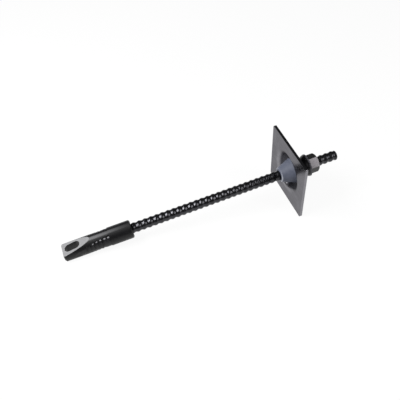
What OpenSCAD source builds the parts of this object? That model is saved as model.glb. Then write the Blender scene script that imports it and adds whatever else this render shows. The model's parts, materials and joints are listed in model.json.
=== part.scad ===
// Expansion-shell rock bolt with a hollow rope-thread bar, lying as it comes to rest on a floor:
// the bearing plate stands on its lower edge and the expansion head touches down on its heel.
// Every module works along the bar: +X runs from the head to the nut, and X = 0 is the plate's rock face.

/* [Bar] */
// Diameter over the thread crests
bar_crest_d = 23; // [20:0.5:25]
// Depth of the rope thread
thread_depth = 1.7; // [1.2:0.1:2.2]
// Distance from one thread crest to the next
thread_pitch = 13; // [10:0.5:16]
// Hand of the thread, right or left
thread_hand = -1; // [1, -1]
// Bore that carries the grout
bar_bore_d = 11; // [6:0.5:13]
// Bar between the head's mouth and the plate's rock face
bar_free_len = 362; // [250:5:800]
// Bar standing out past the nut
bar_tail_len = 49; // [25:1:90]

/* [Expansion head] */
// Diameter of the head's sleeve
head_d = 40; // [38:0.5:46]
// Step down in radius from the sleeve to the wedge end and the jaws
wedge_step = 1; // [0.3:0.1:1.5]
// Length of the plain sleeve round the end of the bar
sleeve_len = 50; // [40:1:70]
// Length of the wedge end, from the sleeve's shoulder to the tip
wedge_len = 100.5; // [90:0.5:130]
// Solid floor between the socket and the shoulder
socket_floor = 5; // [3:0.5:10]
// Half width of the web between the two ramps at the shoulder
ramp_root = 8; // [7.5:0.1:9.5]
// Slope of the ramps that spread the jaws
ramp_angle = 8; // [7:0.25:9]
// Length of the slanted flats at the tip
flat_len = 60.5; // [50:0.5:75]
// Half thickness of the tip between the slanted flats
tip_half = 8.5; // [7:0.1:14]
// Bevel round the sleeve's mouth
mouth_bevel = 2.5; // [1:0.1:4]
// Bevel round the tip
tip_bevel = 2.5; // [0.5:0.1:4]
// Length of the oblong grout port
port_len = 33; // [22:0.5:36]
// Width of the oblong grout port
port_w = 17.5; // [12:0.5:19]
// Metal between the port and the tip
port_edge = 5.5; // [3:0.1:8]
// Duct from the socket to the port
duct_d = 10; // [6:0.5:11]

/* [Jaws] */
// Length of a jaw
jaw_len = 66; // [58:1:70]
// Half height of a jaw between the flat lands along its edges
jaw_half_h = 15; // [12:0.25:16]
// Distance from one tooth to the next
tooth_pitch = 8.5; // [5:0.5:10]
// Depth of the teeth
tooth_depth = 1.1; // [0.6:0.1:1.5]
// Flat land on the top of each tooth
tooth_land = 1.6; // [0.6:0.1:2.5]
// Plain stretch of jaw before the first tooth at the thin end
jaw_nose = 9; // [7:0.5:14]
// Plain stretch of jaw behind the last tooth, at the sleeve
jaw_heel = 9; // [4:0.5:14]
// Length of the dovetail guide on each ramp
guide_len = 34; // [26:1:40]
// Width of the guide at its foot
guide_w = 9; // [6:0.5:11]
// Height of the guide
guide_h = 2.4; // [1.6:0.1:3]
// How far the guide widens to each side towards its top
guide_flare = 0.8; // [0.4:0.1:1.2]

/* [Bearing plate] */
// Side of the square plate
plate_side = 150; // [130:1:200]
// Thickness of the plate
plate_t = 6; // [4:0.25:8]
// Radius of the plate's corners
corner_r = 3; // [1:0.5:8]
// Mouth of the pressed dome on the rock side
dome_mouth_d = 88; // [80:1:96]
// Depth of the dome's hollow
dome_rise = 33; // [30:0.5:38]
// Hole at the top of the dome
dome_hole_d = 32; // [30:0.5:36]
// Rounding of the dome's mouth
mouth_round = 12; // [6:0.5:14]
// Rounding where the outside of the dome meets the plate
foot_round = 6; // [4:0.5:10]
// Lean of the plate on its ball seat, its top towards the nut
plate_lean = 3; // [0:0.5:6]

/* [Washer and nut] */
// Radius of the washer's ball face
ball_r = 26; // [24:0.5:30]
// How far the washer's flat face is short of the ball's middle
ball_inset = 5; // [2:0.5:8]
// Thickness of the washer
washer_t = 16; // [12:0.5:18]
// How deep the ball face sinks into the hole of the dome
seat_depth = 2; // [1:0.25:3]
// Nut size across the flats
nut_af = 37; // [34:0.5:42]
// Length of the nut
nut_len = 22; // [18:0.5:40]
// Turn of the nut's flats about the bar
nut_roll = 10; // [0:1:59]

/* [Grout plug] */
// Width of the plug's small end face round the bar
plug_lip = 5; // [4:0.25:6]
// Bevel round the plug's small end
plug_bevel = 1.6; // [0.5:0.1:2.5]
// Diameter of the plug's large end
plug_big_d = 57; // [50:0.5:60]
// Length of the plug
plug_len = 32; // [26:0.5:34]
// How far the small end stands out of the plate
plug_out = 18; // [14:0.5:22]
// Wall of the plug's skirt
plug_wall = 4; // [3:0.25:5]
// Length of the collar that grips the bar
plug_collar = 9; // [6:0.5:12]

/* [Fits] */
// Radial clearance between the thread crests and what is threaded on them
thread_gap = 0.3; // [0.2:0.05:0.5]
// Radial clearance of the washer round the bar
washer_gap = 0.7; // [0.5:0.05:1]
// Clearance of the ball seat
seat_gap = 0.3; // [0.2:0.05:0.4]
// Clearance of the jaws on their ramps and guides
jaw_gap = 0.3; // [0.2:0.05:0.4]
// Clearance between the nut and the washer
face_gap = 0.1; // [0.05:0.05:0.2]

/* [Hidden] */
$fn = 96;
// Length by which a cutting shape runs past the face that it cuts
over = 1;

bar_r = bar_crest_d / 2;
head_r = head_d / 2;
wedge_r = head_r - wedge_step;

// Stations of the head along the bar
mouth_x = -bar_free_len;
shoulder_x = mouth_x - sleeve_len;
tip_x = shoulder_x - wedge_len;
heel_x = tip_x + flat_len;
bar_start_x = shoulder_x + socket_floor;
port_x = tip_x + port_edge + port_len / 2;

// Half width between the ramps at a station
function ramp_y(x) = ramp_root + (shoulder_x - x) * tan(ramp_angle);

// Stations of the jaws
jaw_back_x = shoulder_x - jaw_gap;
jaw_tip_x = jaw_back_x - jaw_len;
teeth = floor((jaw_len - jaw_nose - jaw_heel) / tooth_pitch);

// Balls of the dome: the hollow, and the outside one plate thickness further out
dome_mouth_r = dome_mouth_d / 2;
dome_in_r = (pow(dome_mouth_r, 2) + pow(dome_rise, 2)) / (2 * dome_rise);
dome_out_r = dome_in_r + plate_t;
dome_x = dome_rise - dome_in_r;

// The ball face sits in the hole of the dome, and the nut on the washer's flat face
dome_hole_r = dome_hole_d / 2;
seat_x = dome_x + sqrt(pow(dome_out_r, 2) - pow(dome_hole_r, 2)) - seat_depth;
ball_x = seat_x + sqrt(pow(ball_r, 2) - pow(dome_hole_r, 2));
washer_end_x = ball_x - ball_inset;
nut_x = washer_end_x + face_gap;
bar_end_x = nut_x + nut_len + bar_tail_len;
bar_len = bar_end_x - bar_start_x;

// Rest: the lower rock-side edge of the leaning plate and the head's heel are both on the floor
edge_x = ball_x - ball_x * cos(plate_lean) - plate_side / 2 * sin(plate_lean);
edge_z = ball_x * sin(plate_lean) - plate_side / 2 * cos(plate_lean);
lie_angle = atan((-edge_z - wedge_r) / (edge_x - heel_x));
rest_z = -(edge_x * sin(lie_angle) + edge_z * cos(lie_angle));
low_end_x = tip_x * cos(lie_angle) - tip_half * sin(lie_angle);
high_end_x = bar_end_x * cos(lie_angle) + bar_r * sin(lie_angle);
rest_x = -(low_end_x + high_end_x) / 2;

black_steel = "#17171a";
black_casting = "#222225";
plate_grey = "#87868a";
plug_blue = "#6f7486";

// Lays what was modelled along the bar down on the floor
module at_rest() {
    translate([rest_x, 0, rest_z]) rotate([0, -lie_angle, 0]) children();
}

// Stands a shape that was drawn along +Z along the bar instead, from a station
module along_bar(x) {
    translate([x, 0, 0]) rotate([0, 90, 0]) children();
}

// A bore along the bar between two stations
module bore(x, length, d) {
    along_bar(x) cylinder(h = length, d = d);
}

// Rope thread: sides per turn, and points across one pitch of the rounded wave
thread_sides = 12;
thread_points = 4;
thread_turns = ceil(bar_len / thread_pitch) + 3;
thread_rows = thread_turns * thread_sides;
thread_x = bar_start_x - 2 * thread_pitch;

function wave_r(q) = bar_r - thread_depth * (1 - cos(360 * q / thread_points)) / 2;
function thread_vertex(s, q) =
    let (angle = thread_hand * 360 * s / thread_sides)
    [thread_x + thread_pitch * (s / thread_sides + q / thread_points),
     wave_r(q) * cos(angle), wave_r(q) * sin(angle)];

// Number of a vertex: the last point across a pitch is the first one of the next turn
function thread_index(s, q) = q < thread_points
    ? s * thread_points + q
    : (s + thread_sides) * thread_points;
function facing(tri) = thread_hand > 0 ? tri : [tri[2], tri[1], tri[0]];

// Long threaded rod, closed by a cone of triangles at each end
module rope_thread() {
    rows = [for (s = [0 : thread_rows + thread_sides], q = [0 : thread_points - 1]) thread_vertex(s, q)];
    near = len(rows);
    far = near + 1;
    ends = [[thread_x - thread_pitch, 0, 0],
            [thread_x + (thread_turns + 2) * thread_pitch, 0, 0]];
    skin = [for (s = [0 : thread_rows - 1], q = [0 : thread_points - 1], half = [0, 1])
        let (a = thread_index(s, q), b = thread_index(s + 1, q),
             c = thread_index(s + 1, q + 1), d = thread_index(s, q + 1))
        facing(half == 0 ? [a, c, b] : [a, d, c])];
    near_cap = concat(
        [for (s = [0 : thread_sides - 1]) facing([near, thread_index(s, 0), thread_index(s + 1, 0)])],
        [for (q = [0 : thread_points - 1]) facing([near, thread_index(0, q + 1), thread_index(0, q)])]);
    last = thread_rows;
    far_cap = concat(
        [for (s = [last : last + thread_sides - 1])
            facing([far, thread_index(s + 1, 0), thread_index(s, 0)])],
        [for (q = [0 : thread_points - 1])
            facing([far, thread_index(last, q), thread_index(last, q + 1)])]);
    polyhedron(concat(rows, ends), concat(skin, near_cap, far_cap), convexity = 10);
}

module hollow_bar() {
    color(black_steel) at_rest() difference() {
        intersection() {
            rope_thread();
            bore(bar_start_x, bar_len, bar_crest_d + 2 * over);
        }
        bore(bar_start_x - over, bar_len + 2 * over, bar_bore_d);
    }
}

// Round blank of the head, bevelled at both ends and stepped down at the shoulder
module head_blank() {
    length = mouth_x - tip_x;
    along_bar(tip_x) rotate_extrude() polygon([
        [0, 0], [wedge_r - tip_bevel, 0], [wedge_r, tip_bevel], [wedge_r, wedge_len], [head_r, wedge_len],
        [head_r, length - mouth_bevel], [head_r - mouth_bevel, length], [0, length]]);
}

// What the slanted flat on the upper side takes away
module flat_cut() {
    slope = (wedge_r - tip_half) / flat_len;
    rotate([90, 0, 0]) linear_extrude(height = head_d + 2 * over, center = true) polygon([
        [heel_x, wedge_r], [heel_x, head_r + over], [tip_x - over, head_r + over],
        [tip_x - over, tip_half - slope * over]]);
}

// What stands outside one ramp between two stations, with a gap off the ramp
module outside_ramp(from_x, to_x, gap, height) {
    clear = gap / cos(ramp_angle);
    top_y = max(ramp_y(to_x), head_r) + clear + over;
    linear_extrude(height = height, center = true) polygon([
        [from_x, ramp_y(from_x) + clear], [from_x, top_y],
        [to_x, top_y], [to_x, ramp_y(to_x) + clear]]);
}

// Dovetail along one ramp, grown by a gap, from behind the shoulder to its end
module guide(length, behind, gap) {
    foot = guide_w / 2 + gap;
    crown = foot + guide_flare;
    translate([shoulder_x, ramp_root, 0]) rotate([0, 0, -ramp_angle])
        translate([behind, 0, 0]) rotate([0, -90, 0])
            linear_extrude(height = length + behind + gap) polygon([
                [-foot, -over], [foot, -over], [foot, 0], [crown, guide_h + gap],
                [-crown, guide_h + gap], [-foot, 0]]);
}

module oblong(length, width, depth) {
    straight = length - width;
    cube([straight, width, depth], center = true);
    for (end = [-1, 1])
        translate([end * straight / 2, 0, 0]) cylinder(h = depth, d = width, center = true);
}

module expansion_head() {
    color(black_casting) at_rest() difference() {
        union() {
            difference() {
                head_blank();
                for (side = [0, 1]) {
                    mirror([0, 0, side]) flat_cut();
                    mirror([0, side, 0]) outside_ramp(shoulder_x, tip_x - over, 0, head_d + 2 * over);
                }
            }
            for (side = [0, 1]) mirror([0, side, 0]) guide(guide_len, over, 0);
        }
        bore(bar_start_x, mouth_x - bar_start_x + over, bar_crest_d + 2 * thread_gap);
        bore(port_x, bar_start_x - port_x + over, duct_d);
        translate([port_x, 0, 0]) oblong(port_len, port_w, head_d + 2 * over);
    }
}

// Round toothed blank of a jaw: each tooth rises towards the sleeve and drops off sharply
module toothed_blank() {
    root_r = wedge_r - tooth_depth;
    first = jaw_len - jaw_heel - teeth * tooth_pitch;
    along_bar(jaw_tip_x) rotate_extrude() polygon(concat(
        [[0, 0], [wedge_r, 0], [wedge_r, first]],
        [for (t = [0 : teeth - 1], k = [0 : 2])
            let (z = first + t * tooth_pitch)
            k == 0 ? [root_r, z] : [wedge_r, z + tooth_pitch - (k == 1 ? tooth_land : 0)]],
        [[wedge_r, jaw_len], [0, jaw_len]]));
}

// Jaw on the +Y ramp
module jaw() {
    difference() {
        intersection() {
            toothed_blank();
            outside_ramp(jaw_back_x, jaw_tip_x, jaw_gap, 2 * jaw_half_h);
        }
        guide(guide_len, 2 * over, jaw_gap);
    }
}

module front_jaw() {
    color(black_casting) at_rest() mirror([0, 1, 0]) jaw();
}

module rear_jaw() {
    color(black_casting) at_rest() jaw();
}

// Tapered hollow plug, open towards the dome
module grout_plug() {
    hole_r = bar_r + thread_gap;
    small_r = bar_r + plug_lip;
    big_r = plug_big_d / 2;
    hollow_r = small_r + (big_r - small_r) * plug_collar / plug_len - plug_wall;
    color(plug_blue) at_rest() along_bar(-plug_out) rotate_extrude() polygon([
        [hole_r, 0], [small_r - plug_bevel, 0], [small_r, plug_bevel], [big_r, plug_len],
        [big_r - plug_wall, plug_len], [max(hollow_r, hole_r), plug_collar], [hole_r, plug_collar]]);
}

// Points of an arc in a turned profile, as radius and station
function arc(centre, r, from, to, steps) = [for (i = [0 : steps])
    let (a = from + (to - from) * i / steps)
    [centre[0] + r * cos(a), centre[1] + r * sin(a)]];

// Middles of the two roundings at the dome's foot, on the rock side and on the nut side
mouth_arc_r = sqrt(pow(dome_in_r + mouth_round, 2) - pow(mouth_round - dome_x, 2));
foot_arc_x = plate_t + foot_round;
foot_arc_r = sqrt(pow(dome_out_r + foot_round, 2) - pow(foot_arc_x - dome_x, 2));
mouth_angle = atan2(mouth_round - dome_x, mouth_arc_r);
foot_angle = atan2(foot_arc_x - dome_x, foot_arc_r);
// Where the flat of the plate starts, outside both roundings
flat_r = max(mouth_arc_r, foot_arc_r);
dome_steps = 14;
round_steps = 6;

// Pressed dome with the round of the plate that it rises from
module pressed_dome() {
    rotate_extrude() polygon(concat(
        arc([0, dome_x], dome_in_r, acos(dome_hole_r / dome_in_r), mouth_angle, dome_steps),
        arc([mouth_arc_r, mouth_round], mouth_round, 180 + mouth_angle + 1, 270, round_steps),
        [[flat_r + over, 0], [flat_r + over, plate_t]],
        arc([foot_arc_r, foot_arc_x], foot_round, 270, 180 + foot_angle + 1, round_steps),
        arc([0, dome_x], dome_out_r, foot_angle, acos(dome_hole_r / dome_out_r), dome_steps)));
}

// Square plate with rounded corners, open where the dome is
module square_plate() {
    straight = plate_side - 2 * corner_r;
    difference() {
        union() {
            translate([plate_t / 2, 0, 0]) {
                cube([plate_t, plate_side, straight], center = true);
                cube([plate_t, straight, plate_side], center = true);
            }
            for (y = [-1, 1], z = [-1, 1])
                translate([0, y * straight / 2, z * straight / 2]) bore(0, plate_t, 2 * corner_r);
        }
        bore(-over, plate_t + 2 * over, 2 * flat_r);
    }
}

// Leans what was modelled square to the bar on the ball seat
module leaning() {
    translate([ball_x, 0, 0]) rotate([0, plate_lean, 0]) translate([-ball_x, 0, 0]) children();
}

module bearing_plate() {
    color(plate_grey) at_rest() leaning() difference() {
        union() {
            square_plate();
            along_bar(0) pressed_dome();
        }
        translate([ball_x, 0, 0]) sphere(ball_r + seat_gap);
    }
}

module ball_washer() {
    nose_x = washer_end_x - washer_t;
    color(black_steel) at_rest() difference() {
        intersection() {
            bore(nose_x, washer_t, 2 * ball_r + 2 * over);
            translate([ball_x, 0, 0]) sphere(ball_r);
        }
        bore(nose_x - over, washer_t + 2 * over, bar_crest_d + 2 * washer_gap);
    }
}

// Hexagon with its corners turned off at both ends
module hex_nut() {
    corner = nut_af / 2 / cos(30);
    drop = (corner - nut_af / 2) * tan(30);
    color(black_steel) at_rest() rotate([nut_roll, 0, 0]) along_bar(nut_x) difference() {
        intersection() {
            cylinder(h = nut_len, r = corner, $fn = 6);
            rotate_extrude() polygon([
                [0, 0], [nut_af / 2, 0], [corner, drop], [corner, nut_len - drop],
                [nut_af / 2, nut_len], [0, nut_len]]);
        }
        translate([0, 0, -over]) cylinder(h = nut_len + 2 * over, d = bar_crest_d + 2 * thread_gap);
    }
}

hollow_bar();
expansion_head();
front_jaw();
rear_jaw();
grout_plug();
bearing_plate();
ball_washer();
hex_nut();
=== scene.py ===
"""Dresses the rock bolt: a finely threaded bar, worn steel and plastic finishes, and a pale studio floor."""
import json
import math

import bpy
import numpy as np
from mathutils import Matrix, Vector


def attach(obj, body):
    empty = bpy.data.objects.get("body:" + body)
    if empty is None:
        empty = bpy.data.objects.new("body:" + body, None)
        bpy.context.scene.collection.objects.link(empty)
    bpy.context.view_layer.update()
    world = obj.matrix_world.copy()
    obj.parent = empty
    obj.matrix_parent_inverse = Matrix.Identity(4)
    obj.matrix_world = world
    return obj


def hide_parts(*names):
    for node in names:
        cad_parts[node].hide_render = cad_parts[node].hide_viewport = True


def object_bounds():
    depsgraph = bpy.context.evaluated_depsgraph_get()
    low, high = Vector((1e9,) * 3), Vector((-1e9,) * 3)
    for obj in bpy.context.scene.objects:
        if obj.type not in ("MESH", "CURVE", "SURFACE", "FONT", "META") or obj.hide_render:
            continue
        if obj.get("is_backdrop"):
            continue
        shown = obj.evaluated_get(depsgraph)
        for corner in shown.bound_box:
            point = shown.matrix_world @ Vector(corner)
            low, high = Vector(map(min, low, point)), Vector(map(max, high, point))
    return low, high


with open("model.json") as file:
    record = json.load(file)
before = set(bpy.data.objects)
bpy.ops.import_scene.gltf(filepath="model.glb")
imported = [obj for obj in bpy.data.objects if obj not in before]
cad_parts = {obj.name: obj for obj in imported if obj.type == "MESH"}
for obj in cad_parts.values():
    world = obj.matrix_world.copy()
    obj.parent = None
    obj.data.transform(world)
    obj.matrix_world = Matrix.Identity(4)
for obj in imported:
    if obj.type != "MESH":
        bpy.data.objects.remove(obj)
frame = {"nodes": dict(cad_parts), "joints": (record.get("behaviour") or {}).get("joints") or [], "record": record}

bl_info = {
    "name": "Rock bolt dressing",
    "version": (1, 0, 0),
    "blender": (4, 5, 0),
    "location": "View3D > Sidebar > Rock bolt",
    "description": "Gives the rock bolt its threaded bar, finishes and studio",
    "category": "Object",
}

CAD_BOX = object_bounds()
MM = 0.001
WHITE = (1.0, 1.0, 1.0, 1.0)


def joint(name):
    """The record's joint of that name."""
    return next(j for j in frame["joints"] if j["name"] == name)


def mount(name):
    """The record's mount of that name."""
    return next(m for m in frame["record"]["mounts"] if m["name"] == name)


# The bar: its direction, how far it leans off the floor, its tail end, length, bore and thread pitch
BAR_DIR = Vector(joint("seat_travel")["axis"]).normalized()
LIE = math.atan2(BAR_DIR.z, BAR_DIR.x)
TAIL = Vector(mount("grout_inlet")["pos_m"])
BAR_LENGTH = mount("grout_inlet")["dims"]["length_mm"] * MM
BORE = mount("grout_inlet")["dims"]["r_mm"] * 2 * MM
PITCH = 2 * math.pi / abs(frame["record"]["behaviour"]["couplings"][0]["ratio"])

# The plate: the ball that it swivels on, the way that its flat face looks, its lean and that face's middle
BALL = Vector(joint("plate_swivel")["pos_m"])
PLATE_OUT = Vector(mount("rock_face")["axis"]).normalized()
PLATE_TURN = math.atan2(-PLATE_OUT.z, -PLATE_OUT.x)
PLATE_MIDDLE = BALL + PLATE_OUT * (Vector(mount("rock_face")["pos_m"]) - BALL).dot(PLATE_OUT)


# Values that a user can change
def length(name, words, default):
    """A size in metres."""
    return bpy.props.FloatProperty(name=name, description=words, default=default, unit="LENGTH",
                                   precision=5, min=0.0)


def angle(name, words, degrees):
    """An angle, given in degrees."""
    return bpy.props.FloatProperty(name=name, description=words, default=math.radians(degrees),
                                   subtype="ANGLE")


def strength(name, words, default, unit="NONE"):
    """A strength of light, plain or in watts."""
    return bpy.props.FloatProperty(name=name, description=words, default=default, unit=unit,
                                   precision=3, min=0.0)


def metres(name, words, default):
    """A point, or a width and a height, in metres."""
    return bpy.props.FloatVectorProperty(name=name, description=words, default=default, size=len(default),
                                         unit="LENGTH", precision=4)


def linear(code):
    """A colour as a paint chip gives it, such as 6f7486, as linear values by the sRGB curve."""
    parts = [int(code[i:i + 2], 16) / 255 for i in (0, 2, 4)]
    return tuple(p / 12.92 if p <= 0.04045 else ((p + 0.055) / 1.055) ** 2.4 for p in parts)


def paint(name, words, code):
    """A colour, given as a paint chip's code."""
    return bpy.props.FloatVectorProperty(name=name, description=words, default=linear(code),
                                         subtype="COLOR", size=3, min=0.0, max=1.0)


class ROCKBOLT_PG_sizes(bpy.types.PropertyGroup):
    """Sizes of the bar's thread, and of the forms that the finishes follow."""
    crest: length("Crest diameter", "Bar diameter over the thread crests", 23 * MM)
    depth: length("Thread depth", "Depth of the rope thread", 1.7 * MM)
    pitch: length("Thread pitch", "Distance from one crest to the next", PITCH)
    bore: length("Grout bore", "Diameter of the bore through the bar", BORE)
    start: length("Thread start", "Where the thread's wave starts, before the bar's end in the head", 26 * MM)
    bevel: length("Bevel rings", "How far from each end the bar has extra rings for its bevel", 1.6 * MM)
    end_drop: length("Bevel drop", "How far the edge of each end lies below the thread's root", 0.4 * MM)
    tip_half: length("Tip half thickness", "Half thickness of the head's tip between its flats", 8.5 * MM)
    flat_run: length("Flat length", "Length of the head's slanted flats", 60.5 * MM)
    wedge_run: length("Wedge length", "Length of the head's wedge end", 100.5 * MM)
    wedge_radius: length("Wedge radius", "Radius of the head's wedge end", 19 * MM)
    floor: length("Socket floor", "Metal between the head's socket and its shoulder", 5 * MM)
    # The rubbed band on the head's crown is partly rubbed skin and partly a painted highlight.
    rub_sheen_aside: length("Rub offset", "How far the rubbed band lies from the middle of the crown", 2 * MM)
    rub_sheen_full: length("Rubbed band", "Half width of the head's crown that is rubbed most", 1.5 * MM)
    rub_sheen_fade: length("Rub fade", "Half width at which the rubbed band has faded out", 5.5 * MM)
    rub_sheen_from: length("Rub start", "Where the rubbed band starts to fade, behind the tip", 50 * MM)
    rub_sheen_to: length("Rub end", "Where the rubbed band has faded out, behind the tip", 165 * MM)
    jaw_half: length("Jaw half height", "Half height of the jaws between their lands", 15 * MM)
    jaw_heel: length("Jaw heel", "Plain stretch of the jaws at the sleeve", 9 * MM)
    # Stretch of the jaws whose teeth's corners carry painted glints.
    jaw_glint_reach: length("Worn stretch", "How far from the sleeve the corners of the teeth are worn", 40 * MM)
    ramp_root: length("Ramp root", "Half width between the head's ramps at the shoulder", 8 * MM)
    ramp_angle: angle("Ramp angle", "Slope of the head's ramps", 8)
    plug_out: length("Plug reach", "How far the plug stands out of the plate", 18 * MM)
    plug_small: length("Plug small end", "Radius of the plug's small end", 16.5 * MM)
    plate_side: length("Plate side", "Side of the bearing plate", 150 * MM)
    # The plate is painted a darker grey inside this radius of the pressed dome.
    dome: length("Dome radius", "Radius of the plate's dome that is dull all over", 56 * MM)
    dome_fade: length("Dome fade", "Radius at which the dome's dull scale has faded out", 62 * MM)
    # Radius of the painted highlight along the washer's rim.
    washer_rim_sheen: length("Washer rim", "Radius of the washer's rim", 25.5 * MM)
    nut_flats: length("Nut flats", "Nut size across the flats", 37 * MM)
    # Turn of the two flats that carry the painted highlight.
    nut_sheen: angle("Worn flats", "Turn of the two flats that a spanner has worn", 40)


class ROCKBOLT_PG_colours(bpy.types.PropertyGroup):
    """Colours of the finishes."""
    bar: paint("Bar", "Black oxide of the bar", "3f3f42")
    bar_rubbed: paint("Bar crests", "Rubbed crests of the bar's thread", "4a4a4c")
    bar_dull: paint("Bar patches", "Duller patches of the bar", "2c2c2e")
    casting: paint("Casting", "Black skin of the head and the jaws", "101012")
    casting_pale: paint("Casting clouds", "Paler clouds in that skin", "161618")
    teeth: paint("Tooth crests", "Rubbed crests of the jaws' teeth", "3a3a3d")
    # Glint: a painted highlight on the corners of the jaws' teeth.
    glint: paint("Worn teeth", "Bare metal on the corners of the jaws' teeth", "a4a4a8")
    # This colour also paints the pale crown band, which is partly a painted highlight.
    bare: paint("Bare metal", "Bare metal of the head's slanted flats and its rubbed crown", "9b9b9d")
    bare_cuts: paint("Cutter marks", "Cutter marks on those flats", "8f8f91")
    bare_dull: paint("Flat clouds", "Duller clouds on those flats", "88888a")
    plug: paint("Plug", "Blue-grey plastic of the grout plug", "6f7484")
    plug_dull: paint("Plug mottle", "Darker mottle of that plastic", "5a5f71")
    # Painted highlight on the rim of the plug's small end.
    plug_rim_highlight: paint("Plug rim", "Paler rim of the plug's small end", "c3c7d0")
    plate: paint("Plate", "Grey steel of the bearing plate", "8c8b8f")
    plate_streaks: paint("Plate streaks", "Rolling streaks of that steel", "7c7b80")
    plate_pale: paint("Plate mottle", "Paler mottle of that steel", "98979c")
    # Darker grey painted inside the pressed dome.
    dome: paint("Dome", "Dull scale in the plate's pressed dome", "56565c")
    scale: paint("Rolled edge", "Dark mill scale on the plate's rolled edges", "131315")
    washer: paint("Washer", "Black steel of the washer", "121214")
    washer_pale: paint("Washer clouds", "Paler clouds of that steel", "1d1d1f")
    # Painted highlight along the washer's rim.
    washer_rim_sheen: paint("Washer rim", "Steel that is rubbed along the washer's rim", "7a7981")
    nut: paint("Nut", "Black steel of the nut", "0f0f10")
    nut_pale: paint("Nut clouds", "Paler clouds of that steel", "19191a")
    # Pale paint on two of the nut's flats: a painted highlight.
    nut_sheen: paint("Worn flats", "Steel that a spanner has worn on the nut", "8e8a8e")
    floor: paint("Floor", "Pale studio floor", "bcbcbc")


class ROCKBOLT_PG_studio(bpy.types.PropertyGroup):
    """Floor, lamps and camera."""
    floor_radius: length("Floor radius", "Radius of the floor's flat part", 3.6)
    rim_radius: length("Rim radius", "Radius of the curve at the floor's rim", 1.5)
    foot_low: length("Rim foot", "Height on the rim up to which reflections show the white floor", 0.02)
    foot_high: length("Rim foot end", "Height on the rim above which they show the matt floor", 0.25)
    glow: strength("Floor white", "Strength of the white that the camera sees", 1.15)
    glow_share: strength("White share", "Share of that white. The rest is the matt floor and its shadow", 0.8)
    world: strength("World", "Strength of the light from all round", 0.09)
    target: metres("Lamp target", "Point that the lamps are aimed at", (0.0, 0.0, 0.05))
    key_place: metres("Key place", "Where the main lamp stands", (-0.95, 0.14, 1.20))
    key_size: metres("Key size", "Width and height of the main lamp", (1.1, 0.40))
    key_power: strength("Key power", "Power of the main lamp", 23.0, "POWER")
    fill_place: metres("Fill place", "Where the second lamp stands", (1.02, -0.68, 1.01))
    fill_size: metres("Fill size", "Width and height of the second lamp", (0.9, 0.9))
    fill_power: strength("Fill power", "Power of the second lamp", 10.0, "POWER")
    eye_place: metres("Camera place", "Where the camera stands", (-0.2654, -0.6881, 0.8985))
    eye_turn: angle("Camera turn", "Turn of the camera's aim, from Y towards X", 20.29)
    eye_dip: angle("Camera dip", "How far the camera looks down", 48.81)
    eye_angle: angle("Camera angle", "Width of the camera's view", 42.23)


def settings():
    """The groups of values that a user can change."""
    scene = bpy.context.scene
    return scene.rock_bolt_sizes, scene.rock_bolt_colours, scene.rock_bolt_studio


# Shader maths
def solid(rgb):
    """A colour with full alpha."""
    return (*rgb, 1.0)


class Wire:
    """One output socket of a material, so that shader maths reads as Python."""

    def __init__(self, board, socket):
        self.board = board
        self.socket = socket

    def beside(self, name):
        """Another output of the same node."""
        return Wire(self.board, self.socket.node.outputs[name])

    def math(self, operation, first, second=0.0):
        return self.board.add("ShaderNodeMath", {"operation": operation}, {0: first, 1: second})

    def __add__(self, other):
        return self.math("ADD", self, other)

    def __radd__(self, other):
        return self.math("ADD", other, self)

    def __sub__(self, other):
        return self.math("SUBTRACT", self, other)

    def __rsub__(self, other):
        return self.math("SUBTRACT", other, self)

    def __mul__(self, other):
        return self.math("MULTIPLY", self, other)

    def __rmul__(self, other):
        return self.math("MULTIPLY", other, self)

    def __pow__(self, other):
        return self.math("POWER", self, other)

    def __rpow__(self, other):
        return self.math("POWER", other, self)

    def __abs__(self):
        return self.math("ABSOLUTE", self)

    def step(self, low, high):
        """0 below low and 1 above high, smooth between."""
        return self.board.add("ShaderNodeMapRange", {"interpolation_type": "SMOOTHSTEP"},
                              {"Value": self, "From Min": low, "From Max": high})

    def under(self, full, fade):
        """1 below full and 0 above fade, smooth between."""
        return self.step(fade, full)

    def near(self, limit, full, fade):
        """1 within full of a limit and past it, and 0 more than fade short of it."""
        return self.step(limit - fade, limit - full)

    def patches(self, low, high, most):
        """Patches of a noise: 0 where it is below low, and most where it is above high."""
        return self.step(low, high) * most


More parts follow.
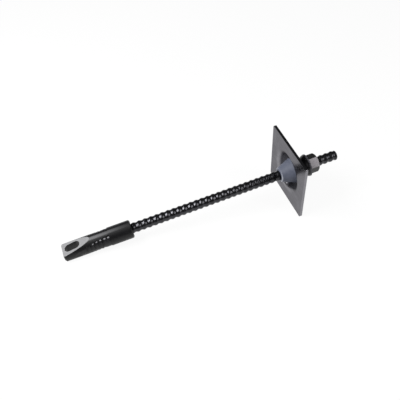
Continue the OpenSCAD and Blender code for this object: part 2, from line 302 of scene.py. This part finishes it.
class Board:
    """The nodes of one material."""

    def __init__(self, name):
        self.material = bpy.data.materials.new(name)
        self.material.use_nodes = True
        self.tree = self.material.node_tree
        self.tree.nodes.clear()

    def feed(self, socket, value):
        if isinstance(value, Wire):
            self.tree.links.new(value.socket, socket)
        else:
            socket.default_value = value

    def add(self, kind, settings, sockets, out=0):
        """A node of any kind: its settings are set first, then the values or links of its sockets."""
        node = self.tree.nodes.new(kind)
        for key, value in settings.items():
            setattr(node, key, value)
        for key, value in sockets.items():
            self.feed(node.inputs[key], value)
        return Wire(self, node.outputs[out]) if node.outputs else None

    def place(self):
        """Place on the piece, in the frame that the solids are drawn in."""
        return self.add("ShaderNodeTexCoord", {}, {}, "Object")

    def along(self, origin, turn):
        """Place in millimetres in a frame at origin that is turned about Y."""
        return self.add("ShaderNodeMapping", {"vector_type": "TEXTURE"},
                        {"Vector": self.place(), "Location": origin, "Rotation": (0.0, turn, 0.0),
                         "Scale": (MM, MM, MM)})

    def split(self, vector):
        x = self.add("ShaderNodeSeparateXYZ", {}, {0: vector})
        return x, x.beside("Y"), x.beside("Z")

    def from_axis(self, place):
        """Distance from the X axis of a place's frame."""
        _, y, z = self.split(place)
        return (y * y + z * z) ** 0.5

    def stretch(self, vector, by):
        return self.add("ShaderNodeVectorMath", {"operation": "MULTIPLY"}, {0: vector, 1: by})

    def noise(self, vector, scale, detail, rough=0.55):
        return self.add("ShaderNodeTexNoise", {},
                        {"Vector": vector, "Scale": scale, "Detail": detail, "Roughness": rough}, "Fac")

    def bands(self, vector, scale, distortion, detail_scale=1.0):
        """Uneven bands across X, such as a cutter or a mould leaves."""
        return self.add("ShaderNodeTexWave", {"wave_type": "BANDS", "bands_direction": "X"},
                        {"Vector": vector, "Scale": scale, "Distortion": distortion, "Detail": 2.0,
                         "Detail Scale": detail_scale}, "Fac")

    def blend(self, factor, first, second):
        """Mix of two colours."""
        def full(colour):
            return colour if isinstance(colour, Wire) else solid(colour)
        return self.add("ShaderNodeMix", {"data_type": "RGBA"},
                        {0: factor, 6: full(first), 7: full(second)}, 2)

    def bump(self, height, strength, distance):
        return self.add("ShaderNodeBump", {},
                        {"Height": height, "Strength": strength, "Distance": distance})

    def finish(self, **sockets):
        """Principled surface; underscores in a socket's name stand for spaces."""
        surface = self.add("ShaderNodeBsdfPrincipled", {},
                           {key.replace("_", " "): value for key, value in sockets.items()})
        self.output(surface)
        return self.material

    def output(self, surface):
        self.add("ShaderNodeOutputMaterial", {}, {"Surface": surface})


# Finishes, whose places and margins are in millimetres
def dress(node, material):
    """Gives a CAD node its finish."""
    mesh = frame["nodes"][node].data
    mesh.materials.clear()
    mesh.materials.append(material)


def bar_origin():
    """Middle of the bar's end in the head."""
    return TAIL - BAR_DIR * BAR_LENGTH


def tip_origin(sizes):
    """Middle of the head's tip."""
    return bar_origin() - BAR_DIR * (sizes.floor + sizes.wedge_run)


def black_oxide(colours, sizes):
    """Oiled black oxide of the bar, rubbed a little on the thread's crests."""
    board = Board("bar_black_oxide")
    place = board.along(bar_origin(), -LIE)
    crest = board.from_axis(place).near(sizes.crest / MM / 2, full=0.02, fade=0.5)
    grain = board.noise(place, scale=0.9, detail=5.0)
    cloud = board.noise(place, scale=0.06, detail=3.0)
    rubbed = crest * grain.patches(low=0.42, high=0.7, most=0.4)
    colour = board.blend(rubbed, colours.bar, colours.bar_rubbed)
    colour = board.blend(cloud.patches(low=0.45, high=0.75, most=0.5), colour, colours.bar_dull)
    return board.finish(Base_Color=colour, Metallic=0.92, Roughness=0.17 + grain * 0.1 + cloud * 0.05,
                        Normal=board.bump(grain, strength=0.12, distance=0.3 * MM))


class Casting:
    """Black sand-cast skin, in a frame at the middle of the head's tip."""

    def __init__(self, name, colours, sizes):
        self.board = Board(name)
        self.place = self.board.along(tip_origin(sizes), -LIE)
        self.sand = self.board.noise(self.place, scale=0.8, detail=6.0, rough=0.6)
        self.cloud = self.board.noise(self.place, scale=0.07, detail=3.0)
        self.colour = self.board.blend(self.cloud.patches(low=0.35, high=0.7, most=0.5),
                                       colours.casting, colours.casting_pale)
        self.rough = 0.36 + self.sand * 0.1
        self.height = self.sand

    def cover(self, mask, colour):
        """Lays a colour over the skin where the mask is 1."""
        self.colour = self.board.blend(mask, self.colour, colour)

    def finish(self):
        return self.board.finish(Base_Color=self.colour, Roughness=self.rough, Specular_IOR_Level=0.32,
                                 Normal=self.board.bump(self.height, strength=0.1, distance=0.4 * MM))


def head_casting(colours, sizes):
    """Skin of the head: its slanted flats are cut bare, and a pale band along its crown behind them is partly
    rubbed skin and partly a painted highlight.
    """
    skin = Casting("head_casting", colours, sizes)
    board = skin.board
    x, y, z = board.split(skin.place)
    run = sizes.flat_run / MM

    # Pale band along the crown: partly rubbed skin, partly a painted highlight.
    band = abs(y + sizes.rub_sheen_aside / MM).under(full=sizes.rub_sheen_full / MM, fade=sizes.rub_sheen_fade / MM)
    crown = abs(z).near(sizes.wedge_radius / MM, full=3.0, fade=5.0)
    behind = x.near(run, full=0.0, fade=6.0) * x.under(full=sizes.rub_sheen_from / MM, fade=sizes.rub_sheen_to / MM)
    skin.cover(band * crown * behind * (0.3 + skin.sand * 0.4), colours.bare)

    slope = (sizes.wedge_radius - sizes.tip_half) / sizes.flat_run
    below = sizes.tip_half / MM + x * slope - abs(z)
    on_flat = below.under(full=0.08, fade=0.22) * x.under(full=run - 0.8, fade=run + 0.5)
    cuts = board.bands(skin.place, scale=0.32, distortion=1.2, detail_scale=1.4)
    bare = board.blend(cuts * 0.25, colours.bare, colours.bare_cuts)
    bare = board.blend(skin.cloud.patches(low=0.4, high=0.75, most=0.3), bare, colours.bare_dull)
    skin.cover(on_flat, bare)
    skin.rough = skin.rough + on_flat * 0.08
    skin.height = skin.sand * (1 - on_flat) + cuts * on_flat * 0.4
    return skin.finish()


def jaw_casting(colours, sizes):
    """Skin of the jaws: the crests of their teeth are rubbed, and the teeth's corners along the jaws' edges carry
    painted glints.
    """
    skin = Casting("jaw_casting", colours, sizes)
    x, y, z = skin.board.split(skin.place)
    heel, sheened = sizes.jaw_heel / MM, sizes.jaw_glint_reach / MM
    crest = skin.board.from_axis(skin.place).near(sizes.wedge_radius / MM, full=0.1, fade=0.5)
    behind = sizes.wedge_run / MM - x
    thick = abs(y) - (behind * math.tan(sizes.ramp_angle) + sizes.ramp_root / MM)
    edge = abs(z).near(sizes.jaw_half / MM, full=0.6, fade=2.2) + thick.under(full=0.8, fade=2.2)
    toothed = behind.near(heel, full=0.0, fade=0.5) * behind.under(full=sheened - 2.0, fade=sheened)
    plain = behind.under(full=heel / 2 - 0.5, fade=heel / 2)
    # Painted glints on the teeth's corners along the jaws' edges.
    corner = crest * edge.step(0.0, 1.0) * (toothed + plain)
    skin.cover(crest * skin.sand.patches(low=0.35, high=0.65, most=0.5), colours.teeth)
    skin.cover(corner * skin.sand.patches(low=0.2, high=0.45, most=0.9), colours.glint)
    return skin.finish()


def moulded_plastic(colours, sizes):
    """Matte blue-grey plastic with a faint mottle, tool marks round the bar and a painted highlight on the rim of
    its small end.
    """
    board = Board("plug_plastic")
    place = board.along(PLATE_MIDDLE, -LIE)
    from_end = board.split(place)[0] + sizes.plug_out / MM
    mottle = board.noise(place, scale=0.09, detail=4.0)
    fine = board.noise(place, scale=1.6, detail=4.0)
    rings = board.bands(place, scale=0.5, distortion=0.6)
    # Painted highlight round the rim of the small end.
    rim = board.from_axis(place).near(sizes.plug_small / MM, full=2.0, fade=3.2)
    rim = rim * from_end.under(full=1.2, fade=2.4)
    colour = board.blend(mottle.patches(low=0.35, high=0.7, most=0.45), colours.plug, colours.plug_dull)
    colour = board.blend(rim * (0.7 + fine * 0.3), colour, colours.plug_rim_highlight)
    marks = fine * 0.5 + rings * 0.3
    return board.finish(Base_Color=colour, Roughness=0.46 + fine * 0.12, Specular_IOR_Level=0.4,
                        Normal=board.bump(marks, strength=0.12, distance=0.4 * MM))


def rolled_steel(colours, sizes):
    """Satin grey plate steel with rolling streaks, dark scale on the rolled edges, and darker grey inside the
    pressed dome.
    """
    rolling = (1.0, 0.12, 1.0)
    low_angle_tint = (0.4, 0.4, 0.4, 1.0)
    board = Board("plate_steel")
    place = board.along(PLATE_MIDDLE, -PLATE_TURN)
    x, _, z = board.split(place)
    streaks = board.noise(board.stretch(place, rolling), scale=0.22, detail=6.0)
    mottle = board.noise(place, scale=0.035, detail=4.0)
    fine = board.noise(place, scale=1.2, detail=4.0)
    rolled = abs(z).near(sizes.plate_side / MM / 2, full=0.02, fade=0.12)
    # Darker grey inside the pressed dome, fading out towards its mouth.
    dome = board.from_axis(place).under(full=sizes.dome / MM, fade=sizes.dome_fade / MM)
    dome = x.step(1.0, 9.0) * dome
    colour = board.blend(streaks.patches(low=0.35, high=0.7, most=0.5), colours.plate, colours.plate_streaks)
    colour = board.blend(mottle.patches(low=0.45, high=0.7, most=0.45), colour, colours.plate_pale)
    colour = board.blend(dome * (0.75 + mottle * 0.25), colour, colours.dome)
    colour = board.blend(rolled, colour, colours.scale)
    return board.finish(Base_Color=colour, Metallic=1 - rolled, Specular_Tint=low_angle_tint,
                        Roughness=0.2 + streaks * 0.1 + rolled * 0.15 + dome * 0.3,
                        Normal=board.bump(fine * 0.6 + streaks * 0.4, strength=0.08, distance=0.4 * MM))


def black_steel(colours, sizes):
    """Black oiled steel of the washer, with a painted highlight along its rim."""
    board = Board("washer_steel")
    place = board.along(BALL, -LIE)
    # Painted highlight along the washer's rim.
    rim = board.from_axis(place).near(sizes.washer_rim_sheen / MM, full=0.3, fade=1.2)
    fine = board.noise(place, scale=1.0, detail=4.0)
    cloud = board.noise(place, scale=0.1, detail=3.0)
    colour = board.blend(cloud.patches(low=0.4, high=0.7, most=0.4), colours.washer, colours.washer_pale)
    colour = board.blend(rim * fine.step(0.3, 0.6), colour, colours.washer_rim_sheen)
    return board.finish(Base_Color=colour, Roughness=0.26 + fine * 0.12, Specular_IOR_Level=0.3,
                        Normal=board.bump(fine, strength=0.14, distance=0.5 * MM))


def nut_steel_painted_sheen(colours, sizes):
    """Black steel of the nut, with two opposite flats painted pale as a highlight."""
    board = Board("nut_steel")
    place = board.along(BALL, -LIE)
    _, y, z = board.split(place)
    # The two opposite flats at this turn are painted pale as a highlight.
    out = abs(z * math.cos(sizes.nut_sheen) - y * math.sin(sizes.nut_sheen))
    sheened = out.near(sizes.nut_flats / MM / 2, full=0.1, fade=0.5)
    fine = board.noise(place, scale=0.9, detail=5.0)
    cloud = board.noise(place, scale=0.12, detail=3.0)
    colour = board.blend(cloud.patches(low=0.4, high=0.7, most=0.4), colours.nut, colours.nut_pale)
    colour = board.blend(sheened * fine.step(0.1, 0.35), colour, colours.nut_sheen)
    return board.finish(Base_Color=colour, Metallic=sheened * 0.25, Roughness=0.28 + fine * 0.14,
                        Specular_IOR_Level=0.3,
                        Normal=board.bump(fine, strength=0.08, distance=0.3 * MM))


# Pieces
def smooth(mesh):
    """Shades every face of a mesh smooth."""
    mesh.polygons.foreach_set("use_smooth", [True] * len(mesh.polygons))


def bar_matrix():
    """From the bar's frame, which starts at its end in the head, to the row frame."""
    return Matrix.Translation(bar_origin()) @ Matrix.Rotation(-LIE, 4, "Y")


def thread_mesh(sizes):
    """Closed tube with a left-hand rope thread outside and a plain bore, in the bar's frame."""
    sides, rings_a_pitch, bore_rings, sharp = 56, 14, 24, math.radians(40)
    crest, depth, bevel = sizes.crest / 2, sizes.depth, sizes.bevel
    rings = int(round(BAR_LENGTH / sizes.pitch * rings_a_pitch))
    ends = [bevel / 2, bevel, BAR_LENGTH - bevel, BAR_LENGTH - bevel / 2]
    xs = np.unique(np.concatenate([np.linspace(0.0, BAR_LENGTH, rings + 1), ends]))
    turn = np.arange(sides) * 2 * math.pi / sides
    wave = 1 - np.cos(2 * math.pi * (xs[:, None] + sizes.start) / sizes.pitch + turn[None, :])
    from_end = np.minimum(xs, BAR_LENGTH - xs)[:, None]
    outer = np.minimum(crest - depth / 2 * wave, crest - depth - sizes.end_drop + from_end)
    bore = np.full(sides, sizes.bore / 2)
    loops = list(zip(xs, outer))
    loops += [(x, bore) for x in np.linspace(BAR_LENGTH, 0.0, bore_rings)]

    points, faces = [], []
    for x, row in loops:
        points += [(x, r * math.cos(a), r * math.sin(a)) for r, a in zip(row, turn)]
    count = len(loops)
    for i in range(count):
        near, far = i * sides, ((i + 1) % count) * sides
        for j in range(sides):
            k = (j + 1) % sides
            faces.append((near + j, near + k, far + k, far + j))
    mesh = bpy.data.meshes.new("rope_thread_bar")
    mesh.from_pydata(points, [], faces)
    mesh.validate()
    mesh.transform(bar_matrix())
    smooth(mesh)
    mesh.set_sharp_from_angle(angle=sharp)
    mesh.update()
    return mesh


class ROCKBOLT_OT_bar(bpy.types.Operator):
    """Winds the finely threaded bar in place of the plain one"""
    bl_idname = "rockbolt.bar"
    bl_label = "Threaded bar"

    def execute(self, context):
        sizes, colours, _ = settings()
        mesh = thread_mesh(sizes)
        mesh.materials.append(black_oxide(colours, sizes))
        bar = bpy.data.objects.new("threaded_bar", mesh)
        context.scene.collection.objects.link(bar)
        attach(bar, "bar")
        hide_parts("hollow_bar")
        return {"FINISHED"}


class ROCKBOLT_OT_head(bpy.types.Operator):
    """Finishes the expansion head and its two jaws"""
    bl_idname = "rockbolt.head"
    bl_label = "Expansion head and jaws"

    def execute(self, context):
        sizes, colours, _ = settings()
        dress("expansion_head", head_casting(colours, sizes))
        skin = jaw_casting(colours, sizes)
        for node in ("front_jaw", "rear_jaw"):
            dress(node, skin)
        return {"FINISHED"}


class ROCKBOLT_OT_plug(bpy.types.Operator):
    """Finishes the grout plug"""
    bl_idname = "rockbolt.plug"
    bl_label = "Grout plug"

    def execute(self, context):
        sizes, colours, _ = settings()
        dress("grout_plug", moulded_plastic(colours, sizes))
        return {"FINISHED"}


class ROCKBOLT_OT_plate(bpy.types.Operator):
    """Finishes the bearing plate"""
    bl_idname = "rockbolt.plate"
    bl_label = "Bearing plate"

    def execute(self, context):
        sizes, colours, _ = settings()
        dress("bearing_plate", rolled_steel(colours, sizes))
        return {"FINISHED"}


class ROCKBOLT_OT_nut(bpy.types.Operator):
    """Finishes the ball washer and the nut"""
    bl_idname = "rockbolt.nut"
    bl_label = "Ball washer and nut"

    def execute(self, context):
        sizes, colours, _ = settings()
        dress("ball_washer", black_steel(colours, sizes))
        dress("hex_nut", nut_steel_painted_sheen(colours, sizes))
        return {"FINISHED"}


# Studio
def pale_floor(colours, studio):
    """White floor that keeps a soft shadow. Reflections show it too, up to the foot of its rim."""
    board = Board("studio_floor")
    direct = board.add("ShaderNodeLightPath", {}, {}, "Is Camera Ray")
    mirrored = direct.beside("Is Glossy Ray") + direct.beside("Is Transmission Ray")
    height = board.split(board.place())[2]
    seen = direct + mirrored * height.under(full=studio.foot_low, fade=studio.foot_high)
    matt = board.add("ShaderNodeBsdfDiffuse", {}, {"Color": solid(colours.floor)})
    glow = board.add("ShaderNodeEmission", {}, {"Color": WHITE, "Strength": studio.glow})
    board.output(board.add("ShaderNodeMixShader", {}, {0: seen * studio.glow_share, 1: matt, 2: glow}))
    return board.material


def sweep_mesh(studio):
    """Round floor whose rim curves up, so that it is also the backdrop of low views."""
    sides, steps = 64, 10
    flat, bend = studio.floor_radius, studio.rim_radius
    turn = np.arange(sides) * 2 * math.pi / sides
    points = [(0.0, 0.0, 0.0)]
    for climb in np.linspace(0.0, math.pi / 2, steps):
        r, z = flat + bend * math.sin(climb), bend - bend * math.cos(climb)
        points += [(r * math.cos(a), r * math.sin(a), z) for a in turn]
    faces = [(0, 1 + j, 1 + (j + 1) % sides) for j in range(sides)]
    for i in range(steps - 1):
        near, far = 1 + i * sides, 1 + (i + 1) * sides
        faces += [(near + j, far + j, far + (j + 1) % sides, near + (j + 1) % sides) for j in range(sides)]
    mesh = bpy.data.meshes.new("floor")
    mesh.from_pydata(points, [], faces)
    smooth(mesh)
    mesh.update()
    return mesh


def aim(holder, look):
    """Turns a lamp or a camera to look along a direction."""
    holder.rotation_euler = look.to_track_quat("-Z", "Y").to_euler()


def lamp(scene, name, place, target, size, power):
    """Soft rectangular lamp aimed at a point."""
    light = bpy.data.lights.new(name, "AREA")
    light.shape = "RECTANGLE"
    light.size, light.size_y = size
    light.energy = power
    holder = bpy.data.objects.new(name, light)
    holder.location = place
    aim(holder, Vector(target) - Vector(place))
    scene.collection.objects.link(holder)


def eye(scene, place, turn, dip, width):
    """Camera that sees the bolt as the photograph does."""
    camera = bpy.data.cameras.new("eye")
    camera.sensor_fit = "HORIZONTAL"
    camera.angle = width
    camera.dof.use_dof = False
    holder = bpy.data.objects.new("eye", camera)
    holder.location = place
    aim(holder, Vector((math.sin(turn) * math.cos(dip), math.cos(turn) * math.cos(dip), -math.sin(dip))))
    scene.collection.objects.link(holder)
    scene.camera = holder


class ROCKBOLT_OT_stage(bpy.types.Operator):
    """Sets the floor, the lamps and the camera"""
    bl_idname = "rockbolt.stage"
    bl_label = "Studio"

    def execute(self, context):
        scene = context.scene
        _, colours, studio = settings()
        mesh = sweep_mesh(studio)
        mesh.materials.append(pale_floor(colours, studio))
        floor = bpy.data.objects.new("floor", mesh)
        scene.collection.objects.link(floor)
        floor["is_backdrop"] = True

        world = bpy.data.worlds.new("studio")
        world.use_nodes = True
        background = world.node_tree.nodes["Background"]
        background.inputs["Color"].default_value = WHITE
        background.inputs["Strength"].default_value = studio.world
        scene.world = world
        lamp(scene, "key_softbox", studio.key_place, studio.target, studio.key_size, studio.key_power)
        lamp(scene, "side_fill", studio.fill_place, studio.target, studio.fill_size, studio.fill_power)
        eye(scene, studio.eye_place, studio.eye_turn, studio.eye_dip, studio.eye_angle)
        scene.view_settings.view_transform = "Standard"
        return {"FINISHED"}


# Add-on
GROUPS = {
    "rock_bolt_sizes": ROCKBOLT_PG_sizes,
    "rock_bolt_colours": ROCKBOLT_PG_colours,
    "rock_bolt_studio": ROCKBOLT_PG_studio,
}
STEPS = (ROCKBOLT_OT_bar, ROCKBOLT_OT_head, ROCKBOLT_OT_plug, ROCKBOLT_OT_plate, ROCKBOLT_OT_nut,
         ROCKBOLT_OT_stage)


class ROCKBOLT_PT_panel(bpy.types.Panel):
    """Lists the sizes, the colours, the studio's values and the steps"""
    bl_idname = "ROCKBOLT_PT_panel"
    bl_label = "Rock bolt"
    bl_space_type = "VIEW_3D"
    bl_region_type = "UI"
    bl_category = "Rock bolt"

    def draw(self, context):
        for group in settings():
            for name in group.__annotations__:
                self.layout.prop(group, name)
        for step in STEPS:
            self.layout.operator(step.bl_idname)


CLASSES = (*GROUPS.values(), *STEPS, ROCKBOLT_PT_panel)


def register():
    for cls in CLASSES:
        bpy.utils.register_class(cls)
    for name, group in GROUPS.items():
        setattr(bpy.types.Scene, name, bpy.props.PointerProperty(type=group))


def unregister():
    for name in GROUPS:
        delattr(bpy.types.Scene, name)
    for cls in reversed(CLASSES):
        bpy.utils.unregister_class(cls)


def main():
    register()
    for step in STEPS:
        family, action = step.bl_idname.split(".")
        getattr(getattr(bpy.ops, family), action)()
    boxes = {"cad": CAD_BOX, "visual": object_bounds()}
    {key: [list(corner) for corner in box] for key, box in boxes.items()}


if __name__ == "__main__":
    main()
